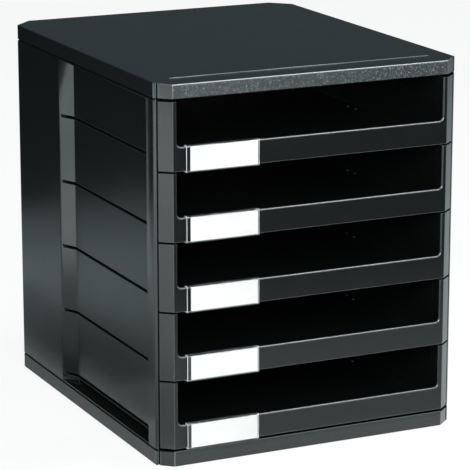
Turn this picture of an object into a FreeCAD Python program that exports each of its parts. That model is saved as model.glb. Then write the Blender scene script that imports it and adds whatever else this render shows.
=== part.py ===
import FreeCAD, Part
import os
import Sketcher

# A free-standing desk letter tray: a moulded casing of five shells that snap together, and five
# open-fronted drawers that slide on runners moulded into the side walls. Each drawer carries a clear
# label holder clipped over its front rail, with a paper insert behind it.
#
# Frame: X to the right, Y to the rear, Z up. The origin is at the middle of the ground that the feet
# stand on, so the drawers' fronts face -Y. All sizes are in millimetres.

doc = FreeCAD.newDocument("letter_tray")

# Driving dimensions, each with the words that say what it measures.
DIMENSIONS = {
    "width": (275, "casing, side to side"),
    "depth": (330, "casing, front plane to rear plane"),
    "height": (320, "ground to top"),
    "skin": (2.0, "thickness of the casing's side walls and of the covers' skirts"),
    "cover_height": (12.9, "top cover and base cover, each"),
    "cover_skin": (2.5, "thickness of each cover's flat plate"),
    "corner_run": (12.4, "slanted front corner, measured across"),
    "corner_back": (10.7, "slanted front corner, measured back"),
    "rear_corner": (16.8, "45 degree rear corner"),
    "seam": (1.0, "groove between the side skin and what it frames"),
    "seam_depth": (3.0, "depth of that groove in the covers"),
    "edge_round": (1.5, "upper front edge of the top cover"),
    "lip_round": (1.6, "front edge of the side skin"),
    "edge_soft": (0.8, "the covers' other outer edges"),
    "slope_back": (22.0, "front plane to the crease of the top's sloped band"),
    "slope_drop": (1.0, "fall of the sloped band at the front edge"),
    "crease_margin": (18.5, "side to the crease's end"),
    "cover_rib": (1.6, "thickness of the base cover's hidden ribs"),
    "cover_rib_deep": (6.0, "height of those ribs"),
    "cover_rib_first": (60.0, "front plane to the first cross rib"),
    "cover_rib_pitch": (70.0, "from one cross rib to the next"),
    "cover_rib_count": (4, "cross ribs"),
    "cover_rib_side": (62.0, "middle to each outer lengthwise rib"),
    "foot_proud": (0.6, "rubber foot below the base cover"),
    "foot_radius": (7.0, "rubber foot"),
    "foot_thick": (1.7, "rubber foot"),
    "foot_room": (0.15, "clearance round a foot in its socket"),
    "foot_in_side": (24.0, "side to a foot's centre"),
    "foot_in_end": (30.0, "front or rear plane to a foot's centre"),
    "post": (25.0, "front plane to the end of the side's front post"),
    "ramp": (18.0, "length of the slopes down into the side's recess"),
    "recess": (8.0, "depth of the side's recess"),
    "ramp_round": (4.0, "foot of those slopes"),
    "rear_flush": (113.0, "rear plane to the recess"),
    "reveal_high": (1.0, "shadow groove between a side wall and each cover, height"),
    "reveal_deep": (1.0, "shadow groove between a side wall and each cover, depth"),
    "flange": (2.0, "floor and roof of the recess"),
    "return_back": (13.0, "front plane to the side wall's inner front edge"),
    "rear_lap": (8.0, "side wall's lap over the rear wall"),
    "rear_skin": (2.0, "thickness of the rear wall"),
    "rear_room": (0.15, "clearance round the rear wall in its grooves"),
    "rear_lip": (1.8, "inner lip of the rear wall's groove"),
    "rear_tuck": (4.0, "rear wall's reach into each cover"),
    "tongue_wide": (8.0, "locating tongue, along the side"),
    "tongue_thick": (1.6, "locating tongue"),
    "tongue_high": (6.5, "reach of a locating tongue into a cover"),
    "tongue_root": (9.0, "root of a locating tongue on the side wall"),
    "tongue_room": (0.15, "clearance between tongue and skirt"),
    "tongue_front": (15.5, "front plane to the front tongue"),
    "tongue_middle": (85.0, "rear plane to the middle tongue"),
    "tongue_rear": (32.0, "rear plane to the rear tongue"),
    "drawer_count": (5, "drawers in the casing"),
    "drawer_gap": (1.4, "between one drawer's front and the next"),
    "end_gap": (2.1, "between the end drawers and the covers"),
    "drawer_skin": (1.8, "drawer's side and rear walls"),
    "floor": (2.2, "drawer's floor"),
    "floor_rise": (1.3, "drawer's lower rim to the underside of its floor"),
    "front_skin": (2.2, "drawer's front frame"),
    "frame_back": (12.5, "front plane to the rear of the drawer's frame"),
    "strip": (3.5, "flat strip of the frame beside the opening"),
    "rail": (19.8, "height of the drawer's front rail"),
    "opening_round": (4.0, "lower corners of the opening"),
    "frame_round": (1.3, "front edge round the opening"),
    "floor_round": (2.5, "between a drawer's floor and walls"),
    "wall_drop": (1.0, "drawer's walls below the top of its frame"),
    "back_room": (12.0, "rear plane to the drawer's rear wall"),
    "side_room": (3.1, "casing wall to drawer wall"),
    "play": (0.5, "side clearance of the runners"),
    "slot_rise": (6.0, "drawer's underside to the runner's outer groove"),
    "slot_high": (2.5, "height of that groove"),
    "slot_end": (2.6, "groove's end before the edge of the recess"),
    "web": (1.8, "wall of the hollow runner"),
    "lip": (2.0, "edge left below the lowest groove"),
    "run_gap": (0.3, "between runner and drawer flange"),
    "drawer_flange": (1.8, "thickness of the flange that runs on the runner"),
    "guide_gap": (0.5, "between flange and upper guide"),
    "guide": (1.8, "thickness of the upper guide"),
    "tooth": (8.0, "length of the stop tooth on the flange"),
    "tooth_high": (2.2, "height of the stop tooth"),
    "travel": (222.0, "how far a drawer pulls out"),
    "stop_gap": (0.3, "left between tooth and guide at full travel"),
    "pip_radius": (1.2, "moulded pips on a drawer's floor"),
    "pip_high": (0.8, "moulded pips"),
    "pip_side": (6.5, "drawer's inner wall to the pips"),
    "pip_first": (145.0, "front plane to the first pip"),
    "pip_pitch": (14.0, "from one pip to the next"),
    "holder_wide": (64.5, "label holder"),
    "holder_in": (7.6, "edge of the opening to the label holder"),
    "holder_skin": (0.9, "label holder"),
    "holder_round": (0.7, "outside of the holder's bends"),
    "label_room": (0.6, "space for the paper between holder and rail"),
    "hook_room": (0.4, "between the holder's hooks and the rail"),
    "hook_leg": (4.0, "leg of the holder behind the rail"),
    "hook_under": (6.0, "reach of the holder under the floor"),
    "paper_wide": (60.0, "label insert"),
    "paper_in": (3.7, "edge of the holder to the insert"),
    "paper": (0.3, "thickness of the insert"),
    "past": (1.0, "how far a cut runs out past the solid"),
}

sheet = doc.addObject("Spreadsheet::Sheet", "dims")
for row, (alias, (number, words)) in enumerate(DIMENSIONS.items(), start=1):
    sheet.set(f"A{row}", alias)
    sheet.set(f"B{row}", str(number))
    sheet.set(f"C{row}", words)
    sheet.setAlias(f"B{row}", alias)
doc.recompute()

# Places worked out from the driving dimensions. PROUD is how far the label holders stand out in front,
# and the front and rear planes are set so that the origin is at the middle of the whole.
HALF = "dims.width / 2"
PROUD = "(dims.holder_skin + dims.label_room)"
FRONT = f"({PROUD} - dims.depth) / 2"
REAR = f"({PROUD} + dims.depth) / 2"
BASE_TOP = "(dims.foot_proud + dims.cover_height)"
SIDE_TOP = "(dims.height - dims.cover_height)"
SIDE_HIGH = f"({SIDE_TOP} - {BASE_TOP})"
LOWEST = f"({BASE_TOP} + dims.end_gap)"
PITCH = f"(({SIDE_HIGH} - 2 * dims.end_gap + dims.drawer_gap) / dims.drawer_count)"
DRAWER_HIGH = f"({PITCH} - dims.drawer_gap)"
CHEEK = f"({HALF} - dims.skin - dims.seam)"
INNER = f"({HALF} - dims.recess - dims.skin)"
DRAWER_HALF = f"({INNER} - dims.side_room)"
DRAWER_IN = f"({DRAWER_HALF} - dims.drawer_skin)"
RUNNER = f"({DRAWER_HALF} + dims.play)"
OPENING = f"({HALF} - dims.corner_run - dims.strip)"
DRAWER_REAR = f"({REAR} - dims.back_room)"
TOOTH_FRONT = f"({DRAWER_REAR} - dims.tooth)"
FLANGE_LOW = "(dims.slot_rise + dims.slot_high + dims.web + dims.run_gap)"
FLANGE_TOP = f"({FLANGE_LOW} + dims.drawer_flange)"
HOLDER_LEFT = f"(dims.holder_in - {OPENING})"

# Edges are picked by their place, to within this distance.
CLOSE = 0.01


def corner_line(inset):
    """Y of the slanted front corner at a distance in from the casing's side."""
    return f"({FRONT} + dims.corner_back * (1 - ({inset}) / dims.corner_run))"


def origin_feature(body, role):
    return next(f for f in body.Origin.OriginFeatures if f.Role == role)


def new_body(name):
    body = doc.addObject("PartDesign::Body", name)
    body.Label = name
    return body


def new_sketch(body, name, role="XY_Plane", lift="0"):
    """A sketch on one of the body's own origin planes, lifted along the plane's normal."""
    sketch = body.newObject("Sketcher::SketchObject", name)
    sketch.AttachmentSupport = (origin_feature(body, role), [""])
    sketch.MapMode = "FlatFace"
    sketch.setExpression("AttachmentOffset.Base.z", lift)
    return sketch


def bind(sketch, kind, geometry, point, formula, start):
    """Ties one coordinate of a sketch point to a formula of the sheet."""
    index = sketch.addConstraint(Sketcher.Constraint(kind, -1, 1, geometry, point, start))
    sketch.setExpression(f"Constraints[{index}]", formula)


def add_outline(sketch, points):
    """A closed outline of straight lines through points given as pairs of formulas."""
    first = sketch.GeometryCount
    count = len(points)
    starts = [FreeCAD.Vector(50 + 40 * k, 50 + 30 * k * k, 0) for k in range(count)]
    for k in range(count):
        sketch.addGeometry(Part.LineSegment(starts[k], starts[(k + 1) % count]), False)
    for k in range(count):
        after = first + (k + 1) % count
        sketch.addConstraint(Sketcher.Constraint("Coincident", first + k, 2, after, 1))
    for k, (across, along) in enumerate(points):
        bind(sketch, "DistanceX", first + k, 1, across, starts[k].x)
        bind(sketch, "DistanceY", first + k, 1, along, starts[k].y)


def add_box(sketch, low_x, high_x, low_y, high_y):
    add_outline(sketch, [(low_x, low_y), (high_x, low_y), (high_x, high_y), (low_x, high_y)])


def add_circle(sketch, across, along, radius):
    index = sketch.addGeometry(Part.Circle(FreeCAD.Vector(10, 10, 0), FreeCAD.Vector(0, 0, 1), 5), False)
    bind(sketch, "DistanceX", index, 3, across, 10)
    bind(sketch, "DistanceY", index, 3, along, 10)
    ring = sketch.addConstraint(Sketcher.Constraint("Radius", index, 5))
    sketch.setExpression(f"Constraints[{ring}]", radius)


def add_pad(body, sketch, name, length):
    pad = body.newObject("PartDesign::Pad", name)
    pad.Profile = sketch
    pad.setExpression("Length", length)
    sketch.Visibility = False
    return pad


def add_pocket(body, sketch, name, length):
    """A pocket against its sketch's normal, which has to take material away."""
    doc.recompute()
    before = body.Shape.Volume
    pocket = body.newObject("PartDesign::Pocket", name)
    pocket.Profile = sketch
    pocket.setExpression("Length", length)
    sketch.Visibility = False
    doc.recompute()
    if body.Shape.Volume > before - 1:
        raise RuntimeError(f"{body.Label}: {name} cuts nothing")
    return pocket


def add_fillet(body, name, radius, wanted):
    """Rounds the edges of the body's newest feature that the test picks."""
    doc.recompute()
    base = body.Tip
    names = [f"Edge{k}" for k, edge in enumerate(base.Shape.Edges, start=1) if wanted(edge)]
    if not names:
        raise RuntimeError(f"{body.Label}: {name} finds no edge")
    fillet = body.newObject("PartDesign::Fillet", name)
    fillet.Base = (base, names)
    fillet.setExpression("Radius", radius)
    return fillet


def add_row(body, name, features, axis, count, length):
    """A row of copies along one of the body's own axes."""
    row = body.newObject("PartDesign::LinearPattern", name)
    row.Originals = features
    row.Direction = (origin_feature(body, axis), [""])
    row.setExpression("Length", length)
    row.setExpression("Occurrences", count)
    body.Tip = row
    return row


def both_sides(points):
    """A half outline on the right, joined to its mirror image on the left."""
    return points + [(f"-({across})", along) for across, along in reversed(points)]


# Covers. The top cover and the base cover are shallow shells of one outline: slanted front corners cut
# by a groove that carries on the seam between side wall and drawers, and 45 degree rear corners. The
# top cover is smooth inside, where it is the ceiling of the highest drawer. The base cover has ribs.
COVER_OUTLINE = both_sides([
    (f"{HALF} - dims.corner_run", FRONT),
    (HALF, f"{FRONT} + dims.corner_back"),
    (HALF, f"{REAR} - dims.rear_corner"),
    (f"{HALF} - dims.rear_corner", REAR),
])

# The hollow follows the outline one skin inside, and steps round the groove.
SKIRT_IN = f"({HALF} - 2 * dims.skin - dims.seam)"
CORNER_SHIFT = "(dims.skin * hypot(dims.corner_run; dims.corner_back) / dims.corner_run)"
CORNER_IN = f"({CORNER_SHIFT} - dims.skin) * dims.corner_run / dims.corner_back"
GROOVE_END = f"({corner_line('dims.skin + dims.seam')} + dims.seam_depth)"
REAR_SHIFT = "(dims.skin * tan(22.5))"
COVER_HOLLOW = both_sides([
    (f"{HALF} - dims.corner_run - {CORNER_IN}", f"{FRONT} + dims.skin"),
    (SKIRT_IN, f"{corner_line('2 * dims.skin + dims.seam')} + {CORNER_SHIFT}"),
    (SKIRT_IN, f"{GROOVE_END} + dims.skin"),
    (f"{HALF} - dims.skin", f"{GROOVE_END} + dims.skin"),
    (f"{HALF} - dims.skin", f"{REAR} - dims.rear_corner - {REAR_SHIFT}"),
    (f"{HALF} - dims.rear_corner - {REAR_SHIFT}", f"{REAR} - dims.skin"),
])


def finish_cover(body, hollow_top):
    """Grooves and hollow of a cover whose outer form is already there."""
    grooves = new_sketch(body, f"{body.Label}_groove_plan", lift="dims.height + dims.past")
    for low, high in (
        (CHEEK, f"{HALF} - dims.skin"),
        (f"dims.skin - {HALF}", f"-{CHEEK}"),
    ):
        add_box(grooves, low, high, f"{FRONT} - dims.past", GROOVE_END)
    add_pocket(body, grooves, f"{body.Label}_grooves", "dims.height + 2 * dims.past")

    hollow = new_sketch(body, f"{body.Label}_hollow_plan", lift=hollow_top)
    add_outline(hollow, COVER_HOLLOW)
    add_pocket(body, hollow, f"{body.Label}_hollow", "dims.cover_height - dims.cover_skin")


def add_ribs(body, low):
    """Lengthwise and cross ribs on the plate of a cover."""
    ribs = new_sketch(body, f"{body.Label}_rib_plan", lift=low)
    for across in ("-dims.cover_rib_side", "0", "dims.cover_rib_side"):
        add_box(ribs, f"{across} - dims.cover_rib / 2", f"{across} + dims.cover_rib / 2",
                f"{FRONT} + dims.skin / 2", f"{REAR} - dims.skin / 2")
    add_pad(body, ribs, f"{body.Label}_long_ribs", "dims.cover_rib_deep")

    cross = new_sketch(body, f"{body.Label}_cross_plan", lift=low)
    add_box(cross, f"dims.skin / 2 - {HALF}", f"{HALF} - dims.skin / 2",
            f"{FRONT} + dims.cover_rib_first", f"{FRONT} + dims.cover_rib_first + dims.cover_rib")
    cross_rib = add_pad(body, cross, f"{body.Label}_cross_rib", "dims.cover_rib_deep")
    add_row(body, f"{body.Label}_cross_ribs", [cross_rib], "Y_Axis", "dims.cover_rib_count",
            "(dims.cover_rib_count - 1) * dims.cover_rib_pitch")


def is_level(edge, height):
    box = edge.BoundBox
    return box.ZLength < CLOSE and abs(box.ZMin - height) < CLOSE


def is_upright(edge):
    box = edge.BoundBox
    return box.XLength < CLOSE and box.YLength < CLOSE


# Top cover. Its plate falls away gently towards the front, from a crease behind the front edge, and the
# band is mitred out to the two front corners.
def make_top_cover():
    blank = new_body("top_cover_blank")
    plan = new_sketch(blank, "top_cover_plan", lift=SIDE_TOP)
    add_outline(plan, COVER_OUTLINE)
    add_pad(blank, plan, "top_cover_block", "dims.cover_height")
    add_fillet(blank, "top_cover_rim", "dims.edge_soft", lambda edge: is_level(edge, sheet.height))

    half = sheet.width / 2
    proud = sheet.holder_skin + sheet.label_room
    front = (proud - sheet.depth) / 2
    top = sheet.height
    low = top - sheet.slope_drop
    above = top + sheet.slope_drop
    crease_x = half - sheet.crease_margin
    crease_y = front + sheet.slope_back
    face_x = half - sheet.corner_run
    corner_y = front + sheet.corner_back

    # The band and its two mitres as the underside of a wedge that is lifted off the block. The wedge
    # runs on past the front plane along the same slopes.
    right = [(crease_x, crease_y, top), (half, corner_y, top), (face_x, front, low)]
    left = [(-x, y, z) for x, y, z in right]
    crease_r, corner_r, face_r = [FreeCAD.Vector(*p) for p in right]
    crease_l, corner_l, face_l = [FreeCAD.Vector(*p) for p in left]
    top_ring = [crease_l, crease_r, corner_r, face_r, face_l, corner_l]
    roof = [FreeCAD.Vector(p.x, p.y, above) for p in top_ring]
    faces = [
        [crease_l, crease_r, face_r, face_l],
        [crease_r, corner_r, face_r],
        [crease_l, face_l, corner_l],
        roof,
    ]
    for k, point in enumerate(top_ring):
        after = (k + 1) % len(top_ring)
        faces.append([point, top_ring[after], roof[after], roof[k]])
    shell = Part.Shell([Part.Face(Part.makePolygon(ring + ring[:1])) for ring in faces])
    wedge = doc.addObject("Part::Feature", "top_cover_slope")
    wedge.Shape = Part.Solid(shell)

    form = doc.addObject("Part::Cut", "top_cover_form")
    form.Base = blank
    form.Tool = wedge
    doc.recompute()

    body = new_body("top_cover")
    body.BaseFeature = form
    doc.recompute()

    def is_front_edge(edge):
        box = edge.BoundBox
        in_front = box.YLength < CLOSE and abs(box.YMin - front) < CLOSE
        return in_front and is_level(edge, low)

    add_fillet(body, "top_cover_front", "dims.edge_round", is_front_edge)
    finish_cover(body, "dims.height - dims.cover_skin")
    return body


# Base cover. It is the same shell turned over, with four sockets in its underside for the feet.
FOOT_PLACES = [
    (f"{side} * ({HALF} - dims.foot_in_side)", end)
    for side in (-1, 1)
    for end in (f"{FRONT} + dims.foot_in_end", f"{REAR} - dims.foot_in_end")
]


def make_base_cover():
    body = new_body("base_cover")
    plan = new_sketch(body, "base_cover_plan", lift="dims.foot_proud")
    add_outline(plan, COVER_OUTLINE)
    add_pad(body, plan, "base_cover_block", "dims.cover_height")
    add_fillet(body, "base_cover_rim", "dims.edge_soft", lambda e: is_level(e, sheet.foot_proud))
    finish_cover(body, BASE_TOP)
    add_ribs(body, "dims.foot_proud + dims.cover_skin")

    sockets = new_sketch(body, "base_cover_socket_plan", lift="dims.foot_thick")
    for across, along in FOOT_PLACES:
        add_circle(sockets, across, along, "dims.foot_radius + dims.foot_room")
    add_pocket(body, sockets, "base_cover_sockets", "dims.foot_thick")
    return body


def make_feet():
    discs = []
    for k, (across, along) in enumerate(FOOT_PLACES, start=1):
        disc = doc.addObject("Part::Cylinder", f"foot_{k}")
        disc.setExpression("Radius", "dims.foot_radius")
        disc.setExpression("Height", "dims.foot_thick")
        disc.setExpression("Placement.Base.x", across)
        disc.setExpression("Placement.Base.y", along)
        discs.append(disc)
    feet = doc.addObject("Part::Compound", "rubber_feet")
    feet.Label = "rubber_feet"
    feet.Links = discs
    return feet


# Side walls. Each is one moulding of even thickness that wraps from the front post through the recess
# to the rear corner. A groove at its rear end holds the rear wall. Five hollow runners carry the
# drawers: outside they show as long grooves, and inside they stand out as ledges.
RAMP_TURN = "(dims.skin * tan(atan(dims.recess / dims.ramp) / 2))"
DIP_FRONT = f"({FRONT} + dims.post)"
FLAT_FRONT = f"({DIP_FRONT} + dims.ramp)"
DIP_REAR = f"({REAR} - dims.rear_flush)"
FLAT_REAR = f"({DIP_REAR} - dims.ramp)"
MID_SKIN = f"({HALF} - dims.skin / 2)"
MID_PANEL = f"({HALF} - dims.recess - dims.skin / 2)"
CHANNEL = f"({REAR} - dims.skin - dims.rear_skin - 2 * dims.rear_room)"
CHANNEL_END = f"({HALF} - dims.rear_corner - {REAR_SHIFT})"
LAP_END = f"({HALF} - dims.rear_corner - dims.rear_lap)"
SIDE_PLAN = [
    (HALF, corner_line("0")),
    (HALF, DIP_FRONT),
    (f"{HALF} - dims.recess", FLAT_FRONT),
    (f"{HALF} - dims.recess", FLAT_REAR),
    (HALF, DIP_REAR),
    (HALF, f"{REAR} - dims.rear_corner"),
    (f"{HALF} - dims.rear_corner", REAR),
    (LAP_END, REAR),
    (LAP_END, f"{REAR} - dims.skin"),
    (CHANNEL_END, f"{REAR} - dims.skin"),
    (CHANNEL_END, CHANNEL),
    (LAP_END, CHANNEL),
    (LAP_END, f"{CHANNEL} - dims.rear_lip"),
    (f"{CHANNEL_END} + {REAR} - dims.skin - {CHANNEL} + dims.rear_lip", f"{CHANNEL} - dims.rear_lip"),
    (f"{HALF} - dims.skin", f"{REAR} - dims.rear_corner - {REAR_SHIFT}"),
    (f"{HALF} - dims.skin", f"{DIP_REAR} + {RAMP_TURN}"),
    (INNER, f"{FLAT_REAR} + {RAMP_TURN}"),
    (INNER, f"{FLAT_FRONT} - {RAMP_TURN}"),
    (f"{HALF} - dims.skin", f"{DIP_FRONT} - {RAMP_TURN}"),
    (f"{HALF} - dims.skin", f"{FRONT} + dims.return_back + dims.skin"),
    (INNER, f"{FRONT} + dims.return_back + dims.skin"),
    (INNER, f"{FRONT} + dims.return_back"),
    (f"{HALF} - dims.skin", f"{FRONT} + dims.return_back"),
    (f"{HALF} - dims.skin", corner_line("dims.skin")),
]
LEDGE_PLAN = [
    (RUNNER, f"{FRONT} + dims.return_back + dims.skin / 2"),
    (MID_SKIN, f"{FRONT} + dims.return_back + dims.skin / 2"),
    (MID_SKIN, DIP_FRONT),
    (MID_PANEL, FLAT_FRONT),
    (MID_PANEL, FLAT_REAR),
    (MID_SKIN, DIP_REAR),
    (MID_SKIN, f"{REAR} - dims.rear_corner"),
    (RUNNER, f"{REAR} - dims.rear_corner"),
]
BOX_FRONT = f"({DIP_FRONT} + dims.slot_end - dims.web)"
BOX_REAR = f"({DIP_REAR} - dims.slot_end + dims.web)"
BOX_SIDE = f"({MID_SKIN} - dims.recess * (dims.slot_end - dims.web) / dims.ramp)"
BOX_PLAN = [
    (RUNNER, BOX_FRONT),
    (BOX_SIDE, BOX_FRONT),
    (MID_PANEL, FLAT_FRONT),
    (MID_PANEL, FLAT_REAR),
    (BOX_SIDE, BOX_REAR),
    (RUNNER, BOX_REAR),
]
REVEAL_TURN = "(dims.reveal_deep * tan(22.5))"
REVEAL_PLAN = [
    (f"{HALF} + dims.past", FRONT),
    (f"{HALF} + dims.past", f"{REAR} + dims.past"),
    (f"{LAP_END} - dims.past", f"{REAR} + dims.past"),
    (f"{LAP_END} - dims.past", f"{REAR} - dims.reveal_deep"),
    (f"{HALF} - dims.rear_corner - {REVEAL_TURN}", f"{REAR} - dims.reveal_deep"),
    (f"{HALF} - dims.reveal_deep", f"{REAR} - dims.rear_corner - {REVEAL_TURN}"),
    (f"{HALF} - dims.reveal_deep", FRONT),
]
GUIDE_REAR = f"({TOOTH_FRONT} - dims.travel - dims.stop_gap)"
GUIDE_LOW = f"({FLANGE_TOP} + dims.guide_gap)"


def make_side_wall(name, sign):
    body = new_body(name)

    def on_side(points):
        return [(f"{sign} * ({across})", along) for across, along in points]

    def plate(title, points, low, length):
        sketch = new_sketch(body, f"{name}_{title}_plan", lift=low)
        add_outline(sketch, on_side(points))
        return add_pad(body, sketch, f"{name}_{title}", length)

    def cut(title, points, high, length):
        sketch = new_sketch(body, f"{name}_{title}_plan", lift=high)
        add_outline(sketch, on_side(points))
        return add_pocket(body, sketch, f"{name}_{title}", length)

    def upright_at(across, along):
        """Upright edges of the wall at one place of its plan."""
        def test(edge):
            start = edge.Vertexes[0].Point
            return is_upright(edge) and abs(start.x - sign * across) < CLOSE and abs(start.y - along) < CLOSE
        return test

    plate("wall", SIDE_PLAN, BASE_TOP, SIDE_HIGH)
    front = (sheet.holder_skin + sheet.label_room - sheet.depth) / 2
    rear = front + sheet.depth
    half = sheet.width / 2
    add_fillet(body, f"{name}_lip", "dims.lip_round", upright_at(half, front + sheet.corner_back))
    panel = half - sheet.recess
    flat_front = upright_at(panel, front + sheet.post + sheet.ramp)
    flat_rear = upright_at(panel, rear - sheet.rear_flush - sheet.ramp)
    add_fillet(body, f"{name}_ramp_feet", "dims.ramp_round", lambda e: flat_front(e) or flat_rear(e))

    recess = [(HALF, DIP_FRONT), (HALF, DIP_REAR), (MID_PANEL, FLAT_REAR), (MID_PANEL, FLAT_FRONT)]
    plate("recess_floor", recess, BASE_TOP, "dims.flange")
    plate("recess_roof", recess, f"{SIDE_TOP} - dims.flange", "dims.flange")

    # The lowest runner's inner wall goes on down to the floor of the recess.
    foot = [(RUNNER, FLAT_FRONT), (MID_PANEL, FLAT_FRONT), (MID_PANEL, FLAT_REAR), (RUNNER, FLAT_REAR)]
    plate("sill", foot, BASE_TOP, f"{LOWEST} + dims.slot_rise - {BASE_TOP}")
    deep = [
        (f"{RUNNER} + dims.web", f"{FLAT_FRONT} + dims.web"),
        (HALF, f"{FLAT_FRONT} + dims.web"),
        (HALF, f"{FLAT_REAR} - dims.web"),
        (f"{RUNNER} + dims.web", f"{FLAT_REAR} - dims.web"),
    ]
    cut("sill_hollow", deep, f"{LOWEST} + dims.slot_rise - dims.lip",
        f"{LOWEST} + dims.slot_rise - dims.lip - {BASE_TOP} - dims.flange")

    ledge_low = f"{LOWEST} + dims.slot_rise + dims.slot_high"
    ledge = plate("ledge", LEDGE_PLAN, ledge_low, "dims.web")
    box = plate("runner", BOX_PLAN, f"{LOWEST} + dims.slot_rise - dims.web",
                "dims.slot_high + 2 * dims.web")
    slot = [
        (f"{RUNNER} + dims.web", f"{BOX_FRONT} + dims.web"),
        (f"{HALF} + dims.past", f"{BOX_FRONT} + dims.web"),
        (f"{HALF} + dims.past", f"{BOX_REAR} - dims.web"),
        (f"{RUNNER} + dims.web", f"{BOX_REAR} - dims.web"),
    ]
    groove = cut("groove", slot, ledge_low, "dims.slot_high")
    guide_plan = [
        (RUNNER, f"{FRONT} + dims.return_back + dims.skin / 2"),
        (MID_SKIN, f"{FRONT} + dims.return_back + dims.skin / 2"),
        (MID_SKIN, DIP_FRONT),
        (MID_PANEL, FLAT_FRONT),
        (MID_PANEL, GUIDE_REAR),
        (RUNNER, GUIDE_REAR),
    ]
    guide = plate("guide", guide_plan, f"{LOWEST} + {GUIDE_LOW}", "dims.guide")
    add_row(body, f"{name}_runners", [ledge, box, groove, guide], "Z_Axis", "dims.drawer_count",
            f"(dims.drawer_count - 1) * {PITCH}")

    # Shadow grooves along both covers, where the wall's outer edge steps in.
    cut("upper_reveal", REVEAL_PLAN, f"{SIDE_TOP} + dims.past", "dims.reveal_high + dims.past")
    cut("lower_reveal", REVEAL_PLAN, f"{BASE_TOP} + dims.reveal_high", "dims.reveal_high + dims.past")

    # Tongues that locate the wall inside the skirts of both covers.
    tongue_in = f"{HALF} - dims.skin - dims.tongue_room - dims.tongue_thick"
    tongue_out = f"{HALF} - dims.skin - dims.tongue_room"
    for spot, start in (
        ("front", f"{FRONT} + dims.tongue_front"),
        ("middle", f"{REAR} - dims.tongue_middle"),
        ("rear", f"{REAR} - dims.tongue_rear"),
    ):
        end = f"{start} + dims.tongue_wide"
        tip = [(tongue_in, start), (tongue_out, start), (tongue_out, end), (tongue_in, end)]
        root = [(tongue_in, start), (MID_SKIN, start), (MID_SKIN, end), (tongue_in, end)]
        plate(f"{spot}_lower_tongue", tip, f"{BASE_TOP} - dims.tongue_high",
              "dims.tongue_high + dims.tongue_root")
        plate(f"{spot}_lower_root", root, BASE_TOP, "dims.tongue_root")
        plate(f"{spot}_upper_tongue", tip, f"{SIDE_TOP} - dims.tongue_root",
              "dims.tongue_high + dims.tongue_root")
        plate(f"{spot}_upper_root", root, f"{SIDE_TOP} - dims.tongue_root", "dims.tongue_root")
    return body


# Rear wall. A flat plate held in the grooves of both side walls, tucked into both covers.
def make_rear_wall():
    body = new_body("rear_wall")
    plan = new_sketch(body, "rear_wall_plan", lift=f"{BASE_TOP} - dims.rear_tuck")
    add_box(plan, f"dims.rear_room - {CHANNEL_END}", f"{CHANNEL_END} - dims.rear_room",
            f"{CHANNEL} + dims.rear_room", f"{REAR} - dims.skin - dims.rear_room")
    add_pad(body, plan, "rear_wall_plate", f"{SIDE_HIGH} + 2 * dims.rear_tuck")
    return body


# Drawers. A tray with an open top, and a front frame like a U: a low rail between two hollow cheeks
# that follow the casing's slanted corners. A flange along each side rides on a runner, and a tooth at
# its rear end meets the guide above it before the drawer comes out.
FLOOR_TOP = "(dims.floor_rise + dims.floor)"
CHEEK_SHIFT = "(dims.front_skin * hypot(dims.corner_run; dims.corner_back) / dims.corner_run)"
CHEEK_IN = f"({CHEEK_SHIFT} - dims.front_skin) * dims.corner_run / dims.corner_back"
FRAME_OUTLINE = both_sides([
    (f"{HALF} - dims.corner_run", FRONT),
    (CHEEK, corner_line("dims.skin + dims.seam")),
    (CHEEK, f"{FRONT} + dims.frame_back"),
])
CHEEK_CAVITY = [
    (f"{OPENING} + dims.front_skin", f"{FRONT} + dims.front_skin"),
    (f"{HALF} - dims.corner_run - {CHEEK_IN}", f"{FRONT} + dims.front_skin"),
    (f"{CHEEK} - dims.front_skin",
     f"{corner_line('dims.skin + dims.seam + dims.front_skin')} + {CHEEK_SHIFT}"),
    (f"{CHEEK} - dims.front_skin", f"{FRONT} + dims.frame_back + dims.past"),
    (f"{OPENING} + dims.front_skin", f"{FRONT} + dims.frame_back + dims.past"),
]
TRAY_INSIDE = both_sides([
    (OPENING, f"{FRONT} + dims.front_skin"),
    (OPENING, f"{FRONT} + dims.frame_back"),
    (DRAWER_IN, f"{FRONT} + dims.frame_back"),
    (DRAWER_IN, f"{DRAWER_REAR} - dims.drawer_skin"),
])


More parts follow.
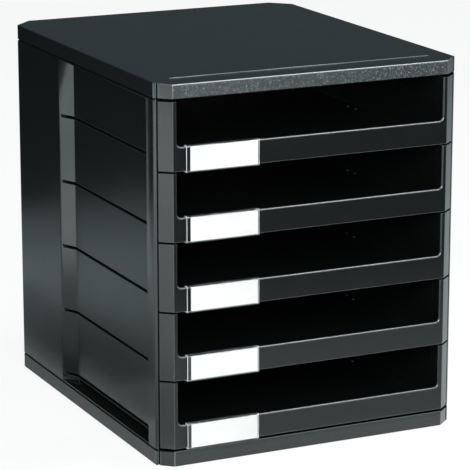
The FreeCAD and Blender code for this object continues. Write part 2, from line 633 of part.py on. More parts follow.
def make_drawer(number):
    name = f"drawer_{number}"
    body = new_body(name)

    frame = new_sketch(body, f"{name}_frame_plan")
    add_outline(frame, FRAME_OUTLINE)
    add_pad(body, frame, f"{name}_frame", DRAWER_HIGH)

    cheeks = new_sketch(body, f"{name}_cheek_plan", lift=f"{DRAWER_HIGH} - dims.front_skin")
    add_outline(cheeks, CHEEK_CAVITY)
    add_outline(cheeks, [(f"-({across})", along) for across, along in CHEEK_CAVITY])
    add_pocket(body, cheeks, f"{name}_cheeks", f"{DRAWER_HIGH} - 2 * dims.front_skin")

    tray = new_sketch(body, f"{name}_tray_plan")
    add_box(tray, f"-{DRAWER_HALF}", DRAWER_HALF, f"{FRONT} + dims.front_skin / 2", DRAWER_REAR)
    add_pad(body, tray, f"{name}_tray", f"{DRAWER_HIGH} - dims.wall_drop")

    inside = new_sketch(body, f"{name}_inside_plan", lift=f"{DRAWER_HIGH} + dims.past")
    add_outline(inside, TRAY_INSIDE)
    add_pocket(body, inside, f"{name}_inside", f"{DRAWER_HIGH} + dims.past - {FLOOR_TOP}")

    opening = new_sketch(body, f"{name}_opening_plan", lift=f"{DRAWER_HIGH} + dims.past")
    add_box(opening, f"-{OPENING}", OPENING, f"{FRONT} - dims.past", f"{FRONT} + 2 * dims.front_skin")
    add_pocket(body, opening, f"{name}_opening", f"{DRAWER_HIGH} + dims.past - dims.rail")

    under = new_sketch(body, f"{name}_under_plan", lift="dims.floor_rise")
    add_box(under, f"-{DRAWER_IN}", DRAWER_IN, f"{FRONT} + dims.frame_back",
            f"{DRAWER_REAR} - dims.drawer_skin")
    add_pocket(body, under, f"{name}_under", "dims.floor_rise")

    front = (sheet.holder_skin + sheet.label_room - sheet.depth) / 2
    opening_half = sheet.width / 2 - sheet.corner_run - sheet.strip
    floor_top = sheet.floor_rise + sheet.floor

    def is_low_corner(edge):
        """The opening's two lower corners, which run from front to rear through the front skin."""
        box = edge.BoundBox
        along = box.XLength < CLOSE and box.ZLength < CLOSE and box.YMax < front + sheet.front_skin + CLOSE
        return along and abs(box.ZMin - sheet.rail) < CLOSE and abs(abs(box.XMin) - opening_half) < CLOSE

    def is_mouth(edge):
        """The edge in the front plane that goes round the opening."""
        box = edge.BoundBox
        in_front = box.YLength < CLOSE and abs(box.YMin - front) < CLOSE
        above = box.ZMin > sheet.rail - CLOSE
        return in_front and above and max(abs(box.XMin), abs(box.XMax)) < opening_half + CLOSE

    def is_floor_edge(edge):
        """Where the floor meets the tray's walls and the rail."""
        inside = edge.CenterOfMass.y > front + sheet.front_skin - CLOSE
        return is_level(edge, floor_top) and inside

    add_fillet(body, f"{name}_corners", "dims.opening_round", is_low_corner)
    add_fillet(body, f"{name}_mouth", "dims.frame_round", is_mouth)
    add_fillet(body, f"{name}_floor_edges", "dims.floor_round", is_floor_edge)

    flange = new_sketch(body, f"{name}_flange_plan", lift=FLANGE_LOW)
    tooth = new_sketch(body, f"{name}_tooth_plan", lift=FLANGE_TOP)
    for low, high in (
        (f"{DRAWER_HALF} - dims.drawer_skin / 2", f"{INNER} - dims.play"),
        (f"dims.play - {INNER}", f"dims.drawer_skin / 2 - {DRAWER_HALF}"),
    ):
        add_box(flange, low, high, f"{FRONT} + dims.frame_back - dims.front_skin / 2", DRAWER_REAR)
        add_box(tooth, low, high, TOOTH_FRONT, DRAWER_REAR)
    add_pad(body, flange, f"{name}_flanges", "dims.drawer_flange")
    add_pad(body, tooth, f"{name}_teeth", "dims.tooth_high")

    pips = new_sketch(body, f"{name}_pip_plan", lift=FLOOR_TOP)
    for side in (-1, 1):
        for step in (0, 1):
            add_circle(pips, f"{side} * ({DRAWER_IN} - dims.pip_side)",
                       f"{FRONT} + dims.pip_first + {step} * dims.pip_pitch", "dims.pip_radius")
    add_pad(body, pips, f"{name}_pips", "dims.pip_high")
    return body


# Label holders. A clear strip bent like a C: it hangs over the rail, runs down in front of it with
# room for the paper, and turns back under it.
def make_label_holder(number):
    name = f"label_holder_{number}"
    body = new_body(name)
    low = "dims.hook_room + dims.holder_skin"
    behind = f"{FRONT} + dims.front_skin + dims.hook_room"
    profile = new_sketch(body, f"{name}_profile", role="YZ_Plane", lift=HOLDER_LEFT)
    add_outline(profile, [
        (f"{FRONT} - {PROUD}", f"-({low})"),
        (f"{FRONT} - {PROUD}", "dims.rail + dims.holder_skin"),
        (f"{behind} + dims.holder_skin", "dims.rail + dims.holder_skin"),
        (f"{behind} + dims.holder_skin", "dims.rail - dims.hook_leg"),
        (behind, "dims.rail - dims.hook_leg"),
        (behind, "dims.rail"),
        (f"{FRONT} - dims.label_room", "dims.rail"),
        (f"{FRONT} - dims.label_room", "-dims.hook_room"),
        (f"{FRONT} + dims.hook_under", "-dims.hook_room"),
        (f"{FRONT} + dims.hook_under", f"-({low})"),
    ])
    add_pad(body, profile, f"{name}_strip", "dims.holder_wide")

    proud_y = -(sheet.holder_skin + sheet.label_room + sheet.depth) / 2
    behind_y = proud_y + sheet.holder_skin + sheet.label_room + sheet.front_skin + sheet.hook_room
    bends = [
        (proud_y, -(sheet.hook_room + sheet.holder_skin)),
        (proud_y, sheet.rail + sheet.holder_skin),
        (behind_y + sheet.holder_skin, sheet.rail + sheet.holder_skin),
    ]

    def is_bend(edge):
        box = edge.BoundBox
        lengthwise = box.YLength < CLOSE and box.ZLength < CLOSE
        return lengthwise and any(
            abs(box.YMin - along) < CLOSE and abs(box.ZMin - up) < CLOSE for along, up in bends)

    add_fillet(body, f"{name}_bends", "dims.holder_round", is_bend)
    return body


# Label inserts. A slip of card that stands on the holder's lower leg.
def make_label_insert(number):
    name = f"label_insert_{number}"
    card = doc.addObject("Part::Box", name)
    card.Label = name
    card.setExpression("Length", "dims.paper_wide")
    card.setExpression("Width", "dims.paper")
    card.setExpression("Height", "dims.rail + dims.hook_room - dims.paper")
    card.setExpression("Placement.Base.x", f"{HOLDER_LEFT} + dims.paper_in")
    card.setExpression("Placement.Base.y", f"{FRONT} - (dims.label_room + dims.paper) / 2")
    return card


nodes = [
    make_top_cover(),
    make_base_cover(),
    make_side_wall("left_side_wall", -1),
    make_side_wall("right_side_wall", 1),
    make_rear_wall(),
    make_feet(),
]
for number in range(1, sheet.drawer_count + 1):
    # Drawer 1 is the lowest. A drawer, its holder and its insert stand at the same level.
    level = f"{LOWEST} + {number - 1} * {PITCH}"
    drawer = make_drawer(number)
    drawer.setExpression("Placement.Base.z", level)
    holder = make_label_holder(number)
    holder.setExpression("Placement.Base.z", level)
    insert = make_label_insert(number)
    insert.setExpression("Placement.Base.z", f"{level} - dims.hook_room")
    nodes += [drawer, holder, insert]
doc.recompute()

for item in doc.Objects:
    if "Invalid" in item.State or "Error" in item.State:
        raise RuntimeError(f"{item.Label} did not compute: {item.State}")
for node in nodes:
    if node.Shape.isNull() or not node.Shape.isValid():
        raise RuntimeError(f"{node.Label} is not a valid solid")

os.makedirs("parts", exist_ok=True)
for node in nodes:
    node.Shape.exportStep(f"parts/{node.Label}.step")
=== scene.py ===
import math

import bpy
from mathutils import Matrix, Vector


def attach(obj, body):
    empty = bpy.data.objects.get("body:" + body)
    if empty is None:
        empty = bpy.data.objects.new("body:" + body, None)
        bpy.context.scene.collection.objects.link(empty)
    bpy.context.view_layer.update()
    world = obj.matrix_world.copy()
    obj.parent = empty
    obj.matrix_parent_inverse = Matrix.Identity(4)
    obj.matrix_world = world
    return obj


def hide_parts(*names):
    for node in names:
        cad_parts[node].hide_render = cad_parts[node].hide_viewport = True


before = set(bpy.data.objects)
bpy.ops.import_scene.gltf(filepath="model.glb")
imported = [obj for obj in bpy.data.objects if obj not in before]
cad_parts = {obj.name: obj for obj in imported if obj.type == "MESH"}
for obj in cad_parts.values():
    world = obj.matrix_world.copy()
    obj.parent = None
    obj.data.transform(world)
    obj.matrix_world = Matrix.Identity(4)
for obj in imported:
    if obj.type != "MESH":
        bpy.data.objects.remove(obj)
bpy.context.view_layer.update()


# Side walls. Each is one injection-moulded wall of charcoal polystyrene, 2 mm thick, with a recess and
# five hollow runners that open outwards as slits. The mould leaves a fine spark grain and small radii on
# the edges. The radii are painted lighter, as a painted highlight, and the faces inside the slits and
# seams and behind the front are painted darker and made dull, as painted shade.
one_point = 1e-6
flat_to = math.radians(1)
edge_from = math.radians(30)
smooth_to = math.radians(35)


def softened(node, radius, finishes):
    """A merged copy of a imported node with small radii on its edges, shown instead of the node.

    The first of the finishes is for its faces, and the second, where there is one, for the radii. Any
    further ones are for faces that the caller picks out afterwards.
    """
    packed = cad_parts[node]
    bpy.ops.object.select_all(action="DESELECT")
    piece = packed.copy()
    piece.data = packed.data.copy()
    piece.name = f"{node}_moulding"
    piece.parent = None
    bpy.context.collection.objects.link(piece)
    piece.select_set(True)
    bpy.context.view_layer.objects.active = piece
    piece.data.materials.clear()
    for finish in finishes:
        piece.data.materials.append(finish)
    if piece.data.has_custom_normals:
        bpy.ops.mesh.customdata_custom_splitnormals_clear()
    bpy.ops.object.mode_set(mode="EDIT")
    bpy.ops.mesh.select_all(action="SELECT")
    bpy.ops.mesh.remove_doubles(threshold=one_point)
    bpy.ops.mesh.dissolve_limited(angle_limit=flat_to)
    bpy.ops.object.mode_set(mode="OBJECT")
    edges = piece.modifiers.new("mould radii", "BEVEL")
    edges.width = radius
    edges.segments = 2
    edges.limit_method = "ANGLE"
    edges.angle_limit = edge_from
    edges.use_clamp_overlap = False
    edges.harden_normals = False
    edges.material = 1 if len(finishes) > 1 else -1
    bpy.ops.object.modifier_apply(modifier=edges.name)
    bpy.ops.object.shade_smooth_by_angle(angle=smooth_to)
    flat = piece.modifiers.new("flat faces stay flat", "WEIGHTED_NORMAL")
    flat.mode = "FACE_AREA"
    flat.weight = 100
    flat.keep_sharp = True
    bpy.ops.object.modifier_apply(modifier=flat.name)
    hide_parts(node)
    return piece


def new_group(name, inputs, outputs):
    """An empty node group with named sockets, and its input and output nodes."""
    group = bpy.data.node_groups.new(name, "ShaderNodeTree")
    for label, kind, value in inputs:
        socket = group.interface.new_socket(name=label, in_out="INPUT", socket_type=f"NodeSocket{kind}")
        if value is not None:
            socket.default_value = value
    for label, kind in outputs:
        group.interface.new_socket(name=label, in_out="OUTPUT", socket_type=f"NodeSocket{kind}")
    return group, group.nodes.new("NodeGroupInput"), group.nodes.new("NodeGroupOutput")


# The grain that spark erosion leaves in the mould: rounded pits of two sizes. Its highest crests are the
# mask for a painted glint.
small_pits_per_large = 1.7
small_pit_share = 0.45
crest_heights = (0.55, 0.75)
spark_grain, given, result = new_group(
    "spark_grain",
    [("Vector", "Vector", None), ("Pits per metre", "Float", 900.0)],
    [("Height", "Float"), ("Glint", "Float")],
)
pits = spark_grain.nodes.new("ShaderNodeTexNoise")
pits.inputs["Detail"].default_value = 3.0
pits.inputs["Roughness"].default_value = 0.65
cells = spark_grain.nodes.new("ShaderNodeTexVoronoi")
finer = spark_grain.nodes.new("ShaderNodeMath")
finer.operation = "MULTIPLY"
finer.inputs[1].default_value = small_pits_per_large
join = spark_grain.nodes.new("ShaderNodeMath")
join.operation = "MULTIPLY_ADD"
join.inputs[1].default_value = small_pit_share
glint = spark_grain.nodes.new("ShaderNodeMapRange")
glint.inputs["From Min"].default_value, glint.inputs["From Max"].default_value = crest_heights
spark_grain.links.new(given.outputs["Vector"], pits.inputs["Vector"])
spark_grain.links.new(given.outputs["Pits per metre"], pits.inputs["Scale"])
spark_grain.links.new(given.outputs["Pits per metre"], finer.inputs[0])
spark_grain.links.new(given.outputs["Vector"], cells.inputs["Vector"])
spark_grain.links.new(finer.outputs[0], cells.inputs["Scale"])
spark_grain.links.new(cells.outputs["Distance"], join.inputs[0])
spark_grain.links.new(pits.outputs["Fac"], join.inputs[2])
spark_grain.links.new(join.outputs[0], result.inputs["Height"])
spark_grain.links.new(pits.outputs["Fac"], glint.inputs["Value"])
spark_grain.links.new(glint.outputs["Result"], result.inputs["Glint"])

# Slow drift of tone and gloss over a large moulding, from melt flow and from handling.
clouds_per_metre = 7.0
streaks_per_metre = 55.0
noise_range = (0.3, 0.7)
gloss_drift = 0.02
melt_drift, given, result = new_group(
    "melt_drift",
    [("Vector", "Vector", None), ("Tone", "Color", (0.03, 0.034, 0.034, 1)),
     ("Spread", "Float", 0.18), ("Satin", "Float", 0.45)],
    [("Color", "Color"), ("Roughness", "Float")],
)
clouds = melt_drift.nodes.new("ShaderNodeTexNoise")
clouds.inputs["Scale"].default_value = clouds_per_metre
clouds.inputs["Detail"].default_value = 4.0
streaks = melt_drift.nodes.new("ShaderNodeTexNoise")
streaks.inputs["Scale"].default_value = streaks_per_metre
streaks.inputs["Detail"].default_value = 5.0
swing = melt_drift.nodes.new("ShaderNodeMapRange")
swing.inputs["From Min"].default_value, swing.inputs["From Max"].default_value = noise_range
swing.inputs["To Min"].default_value = -0.5
swing.inputs["To Max"].default_value = 0.5
amount = melt_drift.nodes.new("ShaderNodeMath")
amount.operation = "MULTIPLY_ADD"
amount.inputs[2].default_value = 1.0
tint = melt_drift.nodes.new("ShaderNodeVectorMath")
tint.operation = "SCALE"
gloss = melt_drift.nodes.new("ShaderNodeMapRange")
gloss.inputs["From Min"].default_value, gloss.inputs["From Max"].default_value = noise_range
gloss.inputs["To Min"].default_value = -gloss_drift
gloss.inputs["To Max"].default_value = gloss_drift
add_gloss = melt_drift.nodes.new("ShaderNodeMath")
for noise in (clouds, streaks):
    melt_drift.links.new(given.outputs["Vector"], noise.inputs["Vector"])
melt_drift.links.new(clouds.outputs["Fac"], swing.inputs["Value"])
melt_drift.links.new(swing.outputs["Result"], amount.inputs[0])
melt_drift.links.new(given.outputs["Spread"], amount.inputs[1])
melt_drift.links.new(given.outputs["Tone"], tint.inputs[0])
melt_drift.links.new(amount.outputs[0], tint.inputs["Scale"])
melt_drift.links.new(tint.outputs["Vector"], result.inputs["Color"])
melt_drift.links.new(streaks.outputs["Fac"], gloss.inputs["Value"])
melt_drift.links.new(gloss.outputs["Result"], add_gloss.inputs[0])
melt_drift.links.new(given.outputs["Satin"], add_gloss.inputs[1])
melt_drift.links.new(add_gloss.outputs[0], result.inputs["Roughness"])


polystyrene_index = 1.55
# The colour of the painted glint that lightens the crests of the grain.
painted_glint_tone = (0.50, 0.56, 0.57)


def charcoal_plastic(name, tone, pits_per_metre, depth, satin, spread=0.06, painted_sparkle=0.008):
    """Charcoal polystyrene with a spark grain of the given fineness and depth in metres.

    Satin is its roughness, spread is how far its tone drifts, and the last argument is how far a painted
    glint lightens the crests of the grain.
    """
    material = bpy.data.materials.new(name)
    material.use_nodes = True
    tree = material.node_tree
    shader = tree.nodes["Principled BSDF"]
    shader.inputs["IOR"].default_value = polystyrene_index
    place = tree.nodes.new("ShaderNodeTexCoord")
    drift = tree.nodes.new("ShaderNodeGroup")
    drift.node_tree = melt_drift
    drift.inputs["Tone"].default_value = (*tone, 1)
    drift.inputs["Spread"].default_value = spread
    drift.inputs["Satin"].default_value = satin
    grain = tree.nodes.new("ShaderNodeGroup")
    grain.node_tree = spark_grain
    grain.inputs["Pits per metre"].default_value = pits_per_metre
    relief = tree.nodes.new("ShaderNodeBump")
    relief.inputs["Strength"].default_value = 1.0
    relief.inputs["Distance"].default_value = depth
    for group in (drift, grain):
        tree.links.new(place.outputs["Object"], group.inputs["Vector"])
    # A painted glint: the crests of the grain lighten the colour.
    crests = tree.nodes.new("ShaderNodeMath")
    crests.operation = "MULTIPLY"
    crests.inputs[1].default_value = painted_sparkle
    lighten = tree.nodes.new("ShaderNodeMix")
    lighten.data_type = "RGBA"
    lighten.inputs["B"].default_value = (*painted_glint_tone, 1)
    tree.links.new(grain.outputs["Glint"], crests.inputs[0])
    tree.links.new(crests.outputs[0], lighten.inputs["Factor"])
    tree.links.new(drift.outputs["Color"], lighten.inputs["A"])
    tree.links.new(lighten.outputs["Result"], shader.inputs["Base Color"])
    tree.links.new(drift.outputs["Roughness"], shader.inputs["Roughness"])
    tree.links.new(grain.outputs["Height"], relief.inputs["Height"])
    tree.links.new(relief.outputs["Normal"], shader.inputs["Normal"])
    return material


charcoal = (0.0030, 0.0038, 0.0038)
# Lighter tone painted on the radii of the covers, the drawers' mouths and the crease line: a painted
# highlight.
bright_highlight_tone = (0.060, 0.068, 0.068)
# Lighter tone painted on the radii of the walls and drawers: a painted highlight.
radius_highlight_tone = (0.016, 0.019, 0.019)
# Darker tone painted in slits, seams, rims and hidden returns: painted shade.
painted_slit_shade_tone = (0.0015, 0.0018, 0.0018)
slit_gloss = 0.08
squarely = 0.9
slit_back_at = 0.1285
seams = ((0.0134, 0.0147), (0.3059, 0.3072))
wall_web_at = -0.1512
wall_inside = 0.13556
wall_plastic = charcoal_plastic("side_wall_plastic", charcoal, 1300, 0.000005, 0.20)
bright_highlight_plastic = charcoal_plastic("bright_painted_highlight", bright_highlight_tone, 2000, 0.00001, 0.22)
radius_highlight_plastic = charcoal_plastic("radius_highlight_plastic", radius_highlight_tone, 2000, 0.00001, 0.30)
painted_shade_plastic = charcoal_plastic("slit_and_seam_painted_shade", painted_slit_shade_tone, 900, 0.00004, 0.80, painted_sparkle=0)
painted_shade_plastic.node_tree.nodes["Principled BSDF"].inputs["Specular IOR Level"].default_value = slit_gloss
for side in ("left", "right"):
    wall = softened(f"{side}_side_wall", 0.0003, [wall_plastic, radius_highlight_plastic, painted_shade_plastic])
    for face in wall.data.polygons:
        nearest = min(abs(wall.data.vertices[corner].co.x) for corner in face.vertices)
        furthest = max(abs(wall.data.vertices[corner].co.x) for corner in face.vertices)
        outward = face.normal.x * face.center.x > 0
        slit_back = outward and furthest < slit_back_at and abs(face.normal.x) > squarely
        slit_sides = nearest < slit_back_at and furthest > slit_back_at and abs(face.normal.z) > squarely
        in_seam = any(low < face.center.z < high for low, high in seams)
        behind_front = face.center.y < wall_web_at and furthest < wall_inside
        # Slits, seams and the faces behind the front get the painted shade.
        if slit_back or slit_sides or in_seam or behind_front:
            face.material_index = 2
    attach(wall, "casing")


# Top cover. A shallow moulded lid with a sloped band along its front. Its grain is coarser than that of
# the walls. Its radii and the rounded upper rim of its front are painted lighter, as a painted
# highlight.
# The flat of its front has a deeper grain, and is painted lighter than the rest of the lid, as painted
# light, with painted glints on the crests of the grain. Its lower rim and the grooves beside its front
# corners are painted darker, as painted shade.
front_painted_light_tone = (0.021, 0.025, 0.026)
cover_plastic = charcoal_plastic("cover_plastic", charcoal, 900, 0.000010, 0.24, spread=0.04)
front_painted_light_plastic = charcoal_plastic(
    "coarse_front_painted_light", front_painted_light_tone, 850, 0.00022, 0.34, spread=0.3, painted_sparkle=0.38)
top_cover = softened("top_cover", 0.0005, [cover_plastic, bright_highlight_plastic, front_painted_light_plastic, painted_shade_plastic])
front_plane = min(corner.co.y for corner in top_cover.data.vertices)
rim = min(corner.co.z for corner in top_cover.data.vertices)
rim_depth = 0.0006
front_edge_depth = 0.002
front_edge_turn = (0.05, -0.1)
front_flat_depth = 0.0002
front_flat_turn = -0.99
groove_sides = (0.1344, 0.1356)
groove_ends = (-0.1554, -0.1529)


def on_front_flat(face):
    """Whether a face of a cover is on the flat of its front."""
    return face.normal.y < front_flat_turn and abs(face.center.y - front_plane) < front_flat_depth


def on_front_edge(face):
    """Whether a face of a cover is on the rounded upper edge of its front."""
    upward, forward = front_edge_turn
    turned = face.normal.z > upward and face.normal.y < forward
    return face.center.y < front_plane + front_edge_depth and turned


def in_corner_groove(place):
    """Whether a point of a cover lies in the groove beside its front corners."""
    between_sides = groove_sides[0] < abs(place.x) < groove_sides[1]
    return between_sides and groove_ends[0] < place.y < groove_ends[1]


# The front flat is painted lighter with painted glints, its upper rim gets a painted highlight, and the
# lower rim and corner grooves get painted shade.
for face in top_cover.data.polygons:
    if on_front_flat(face):
        face.material_index = 2
    elif on_front_edge(face):
        face.material_index = 1
    elif face.center.z < rim + rim_depth or in_corner_groove(face.center):
        face.material_index = 3
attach(top_cover, "casing")

# A fine raised line ends the flat top where the sloped band begins. It has the lighter tone of the
# painted highlight.
crease_behind_front = 0.0220
crease_half_length = 0.1185
crease_radius = 0.0005
crease_sunk = 0.0001
crease_end_round = 0.0001
crease_smooth_to = math.radians(40)
top_height = max(corner.co.z for corner in top_cover.data.vertices)
bpy.ops.object.select_all(action="DESELECT")
bpy.ops.mesh.primitive_cylinder_add(
    vertices=12, radius=crease_radius, depth=2 * crease_half_length, rotation=(0, math.pi / 2, 0),
    location=(0, front_plane + crease_behind_front, top_height - crease_sunk))
crease_line = bpy.context.object
crease_line.name = "top_cover_crease_line"
bpy.ops.object.transform_apply(location=True, rotation=True, scale=True)
bpy.ops.object.mode_set(mode="EDIT")
bpy.ops.mesh.select_all(action="SELECT")
bpy.ops.mesh.bevel(offset=crease_end_round, segments=1, affect="EDGES")
bpy.ops.object.mode_set(mode="OBJECT")
bpy.ops.object.shade_smooth_by_angle(angle=crease_smooth_to)
crease_line.data.materials.append(bright_highlight_plastic)
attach(crease_line, "casing")


# Base cover. A shell of the lid's outline and plastic turned over, with hidden ribs and four sockets for
# the feet, snapped on under the walls.
base_cover = softened("base_cover", 0.0005, [cover_plastic, bright_highlight_plastic, painted_shade_plastic])
rim = max(corner.co.z for corner in base_cover.data.vertices)
# Its radii and the rounded upper rim of its front get a painted highlight; its upper rim and the grooves
# beside its front corners get painted shade.
for face in base_cover.data.polygons:
    if on_front_edge(face):
        face.material_index = 1
    elif face.center.z > rim - rim_depth or in_corner_groove(face.center):
        face.material_index = 2
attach(base_cover, "casing")


# Rear wall. A flat sheet of the same plastic, slid into the grooves of the side walls. It is duller,
# because nobody sees it.
rear_plastic = charcoal_plastic("rear_wall_plastic", charcoal, 1500, 0.00003, 0.48)
rear_wall = softened("rear_wall", 0.0003, [rear_plastic])
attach(rear_wall, "casing")


# Rubber feet. Four black discs pressed into sockets of the base cover, dull and slightly dusty. The
# rubber takes the same grain from its mould as the plastic does.
rubber_black = (0.012, 0.012, 0.012)
foot_rubber = charcoal_plastic("foot_rubber", rubber_black, 700, 0.00006, 0.75, spread=0.5)
feet = softened("rubber_feet", 0.0004, [foot_rubber])
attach(feet, "casing")


# Drawers. Five equal mouldings of the same charcoal plastic: a tray with a low rail and two hollow
# cheeks. Their radii are painted lighter, as a painted highlight, and the rounded edge of the mouth more
# so. The hidden returns of the cheeks are painted darker and dull, as painted shade.
drawer_plastic = charcoal_plastic("drawer_plastic", charcoal, 1300, 0.000006, 0.24)
drawer_count = sum(name.startswith("drawer_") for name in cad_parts)
opening_half = 0.1217
mouth_round = 0.0013
mouth_turn = (-0.98, -0.05)
front_half = 0.1344
front_return_at = -0.1557
for number in range(1, drawer_count + 1):
    finishes = [drawer_plastic, radius_highlight_plastic, bright_highlight_plastic, painted_shade_plastic]
    drawer = softened(f"drawer_{number}", 0.0004, finishes)
    for face in drawer.data.polygons:
        # The mouth's rounded edge gets a painted highlight and the cheeks' hidden returns get painted
        # shade.
        in_mouth = abs(face.center.x) < opening_half and face.center.y < front_plane + mouth_round
        if in_mouth and mouth_turn[0] < face.normal.y < mouth_turn[1]:
            face.material_index = 2
        elif abs(face.center.x) > front_half and face.center.y > front_return_at:
            face.material_index = 3
    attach(drawer, f"drawer_{number}_body")


# Label holders. A strip of clear polystyrene, bent hot into a C and clipped over the drawer's rail. Its
# cut ends are slightly frosted.
def drifting_finish(name, tone, spread, satin):
    """A finish with the slow drift of tone and gloss, its shader, and its coordinates on the piece."""
    material = bpy.data.materials.new(name)
    material.use_nodes = True
    tree = material.node_tree
    shader = tree.nodes["Principled BSDF"]
    place = tree.nodes.new("ShaderNodeTexCoord")
    drift = tree.nodes.new("ShaderNodeGroup")
    drift.node_tree = melt_drift
    drift.inputs["Tone"].default_value = (*tone, 1)
    drift.inputs["Spread"].default_value = spread
    drift.inputs["Satin"].default_value = satin
    tree.links.new(place.outputs["Object"], drift.inputs["Vector"])
    tree.links.new(drift.outputs["Color"], shader.inputs["Base Color"])
    tree.links.new(drift.outputs["Roughness"], shader.inputs["Roughness"])
    return material, shader, place


clear_index = 1.49
holder_clear, shader, _ = drifting_finish("holder_clear", (0.98, 0.975, 0.97), 0.04, 0.08)
shader.inputs["Transmission Weight"].default_value = 1.0
shader.inputs["IOR"].default_value = clear_index
holder_cut, shader, _ = drifting_finish("holder_cut_edge", (0.85, 0.88, 0.88), 0.1, 0.35)
shader.inputs["IOR"].default_value = clear_index
for number in range(1, drawer_count + 1):
    holder = softened(f"label_holder_{number}", 0.0002, [holder_clear, holder_cut])
    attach(holder, f"drawer_{number}_body")


# Label inserts. Slips of smooth white card, cut to fit between holder and rail. The fine pits of the
# grain stand for the fibres of the paper.
fibres_per_metre = 2500
fibre_relief = 0.00001
card_white, shader, place = drifting_finish("card_white", (0.97, 0.965, 0.96), 0.03, 0.6)
tree = card_white.node_tree
grain = tree.nodes.new("ShaderNodeGroup")
grain.node_tree = spark_grain
grain.inputs["Pits per metre"].default_value = fibres_per_metre
relief = tree.nodes.new("ShaderNodeBump")
relief.inputs["Distance"].default_value = fibre_relief
tree.links.new(place.outputs["Object"], grain.inputs["Vector"])
tree.links.new(grain.outputs["Height"], relief.inputs["Height"])
tree.links.new(relief.outputs["Normal"], shader.inputs["Normal"])
for number in range(1, drawer_count + 1):
    card = softened(f"label_insert_{number}", 0.00005, [card_white])
    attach(card, f"drawer_{number}_body")


# Studio. A pale floor that is whiter to the camera than to the light, three soft lamps, and dark, grey
# and lit boards on the floor. The camera doesn't see the boards. The glossy walls mirror them, and so
# get the run of dark and light that the photograph shows.
floor_tone = (0.66, 0.71, 0.70)
floor_roughness = 0.8
floor_whitened = 0.9
bpy.ops.object.select_all(action="DESELECT")
bpy.ops.mesh.primitive_plane_add(size=14, location=(0, 0, 0))
floor = bpy.context.object
floor.name = "studio_floor"
floor_paint = bpy.data.materials.new("studio_floor")
floor_paint.use_nodes = True
tree = floor_paint.node_tree
tree.nodes["Principled BSDF"].inputs["Base Color"].default_value = (*floor_tone, 1)
tree.nodes["Principled BSDF"].inputs["Roughness"].default_value = floor_roughness
backlit = tree.nodes.new("ShaderNodeEmission")
backlit.inputs["Strength"].default_value = 1.0
seen = tree.nodes.new("ShaderNodeLightPath")
share = tree.nodes.new("ShaderNodeMath")
share.operation = "MULTIPLY"
share.inputs[1].default_value = floor_whitened
blend = tree.nodes.new("ShaderNodeMixShader")
tree.links.new(seen.outputs["Is Camera Ray"], share.inputs[0])
tree.links.new(share.outputs[0], blend.inputs["Fac"])
tree.links.new(tree.nodes["Principled BSDF"].outputs[0], blend.inputs[1])
tree.links.new(backlit.outputs[0], blend.inputs[2])
tree.links.new(blend.outputs[0], tree.nodes["Material Output"].inputs["Surface"])
floor.data.materials.append(floor_paint)

# Each board has its middle, its size, its shade of grey and its own glow.
board_tint = (0.86, 1.0, 0.98)
board_roughness = 0.9
board_glow_tone = (0.88, 1.0, 0.98)
for name, middle, size, shade, glow in (
    ("dark_board_rear_left", (-0.675, 1.44, 0.002), (0.95, 1.52), 0.01, 0),
    ("dark_board_far_rear_left", (-1.60, 3.15, 0.002), (2.8, 1.9), 0.01, 0),
    # The dark board near the left is a painted shadow, which stands for the casing's own shadow on the
    # floor.
    ("dark_board_near_left", (-0.207, 0.23, 0.005), (0.07, 0.36), 0.2, 0),
    ("grey_board_left", (-0.48, 0.26, 0.003), (0.64, 0.62), 0.42, 0),
    ("grey_board_rear_left", (-0.44, 0.62, 0.004), (0.44, 0.16), 0.30, 0),
    ("grey_board_front_left", (-0.30, -0.27, 0.003), (0.26, 0.30), 0.50, 0),
    ("dark_board_front_right", (0.60, -1.20, 0.002), (1.4, 1.5), 0.01, 0),
    ("grey_board_front", (0.18, -0.34, 0.003), (0.60, 0.30), 0.36, 0),
    ("light_card_left", (-0.95, 0.12, 0.005), (0.8, 0.55), 0.8, 1.3),
    ("light_card_rear_left", (-1.60, 0.55, 0.004), (0.8, 0.8), 0.8, 1.9),
    ("light_card_front_left", (-0.66, -0.62, 0.004), (0.7, 0.6), 0.8, 0.15),
    ("light_card_far_left", (-1.30, -0.70, 0.004), (0.5, 0.6), 0.8, 3.6),
):
    paint = bpy.data.materials.new(name)
    paint.use_nodes = True
    shader = paint.node_tree.nodes["Principled BSDF"]
    shader.inputs["Base Color"].default_value = (*(part * shade for part in board_tint), 1)
    shader.inputs["Roughness"].default_value = board_roughness
    shader.inputs["Emission Color"].default_value = (*board_glow_tone, 1)
    shader.inputs["Emission Strength"].default_value = glow
    bpy.ops.mesh.primitive_plane_add(size=1, location=(0, 0, 0))
    board = bpy.context.object
    board.name = name
    board.scale = (size[0], size[1], 1)
    board.location = middle
    board.visible_camera = False
    board.visible_shadow = False
    board.data.materials.append(paint)

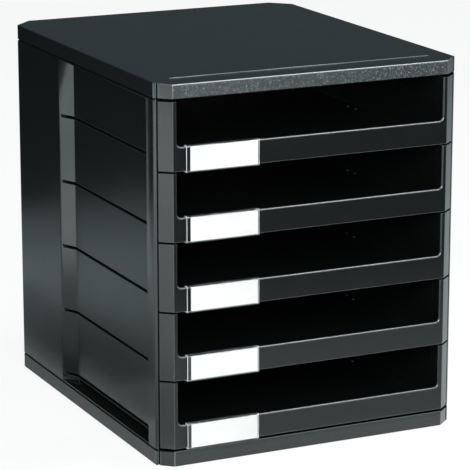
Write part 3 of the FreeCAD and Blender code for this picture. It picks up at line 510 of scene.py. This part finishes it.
# Each lamp has its place, its size, its power in watts and its colour. All aim at the front.
front_middle = Vector((0, -0.16, 0.15))
for name, place_at, size, power, colour in (
    ("overhead", (0.75, -0.40, 2.0), (0.9, 0.9), 52, (0.90, 0.96, 1.0)),
    ("front", (-0.55, -1.60, 0.85), (0.8, 0.8), 52, (1.0, 1.0, 1.0)),
    ("right_fill", (1.60, -0.60, 1.00), (1.0, 1.0), 8, (1.0, 1.0, 1.0)),
):
    lamp = bpy.data.lights.new(name, "AREA")
    lamp.shape = "RECTANGLE"
    lamp.size, lamp.size_y = size
    lamp.energy = power
    lamp.color = colour
    softbox = bpy.data.objects.new(name, lamp)
    bpy.context.collection.objects.link(softbox)
    softbox.location = place_at
    direction = front_middle - Vector(place_at)
    softbox.rotation_euler = direction.to_track_quat("-Z", "Y").to_euler()
    softbox.visible_camera = False

world = bpy.data.worlds.new("studio")
bpy.context.scene.world = world
world.use_nodes = True
tree = world.node_tree
room_light = (0.66, 0.90, 1.0)
room_light_strength = 0.11
tree.nodes["Background"].inputs["Color"].default_value = (*room_light, 1)
tree.nodes["Background"].inputs["Strength"].default_value = room_light_strength
white_wall = tree.nodes.new("ShaderNodeBackground")
white_wall.inputs["Color"].default_value = (1, 1, 1, 1)
seen = tree.nodes.new("ShaderNodeLightPath")
blend = tree.nodes.new("ShaderNodeMixShader")
tree.links.new(seen.outputs["Is Camera Ray"], blend.inputs["Fac"])
tree.links.new(tree.nodes["Background"].outputs[0], blend.inputs[1])
tree.links.new(white_wall.outputs[0], blend.inputs[2])
tree.links.new(blend.outputs[0], tree.nodes["World Output"].inputs["Surface"])
bpy.context.scene.view_settings.view_transform = "Standard"

# Camera. Its place, turn and lens come from a fit of the casing's corners in the photograph. It has no
# shift, which the other views would keep, so its uprights converge where the photograph's don't.
azimuth = math.radians(-25.37)
elevation = math.radians(14.31)
distance = 2.2569
target = Vector((0.0076, 0.00075, 0.1443))
away = Vector((
    math.sin(azimuth) * math.cos(elevation),
    -math.cos(azimuth) * math.cos(elevation),
    math.sin(elevation),
))
view_camera = bpy.data.cameras.new("photo_camera")
view_camera.lens = 195.6
view_camera.sensor_width = 36
camera = bpy.data.objects.new("photo_camera", view_camera)
bpy.context.collection.objects.link(camera)
camera.location = target + distance * away
camera.rotation_euler = (-away).to_track_quat("-Z", "Y").to_euler()
bpy.context.scene.camera = camera
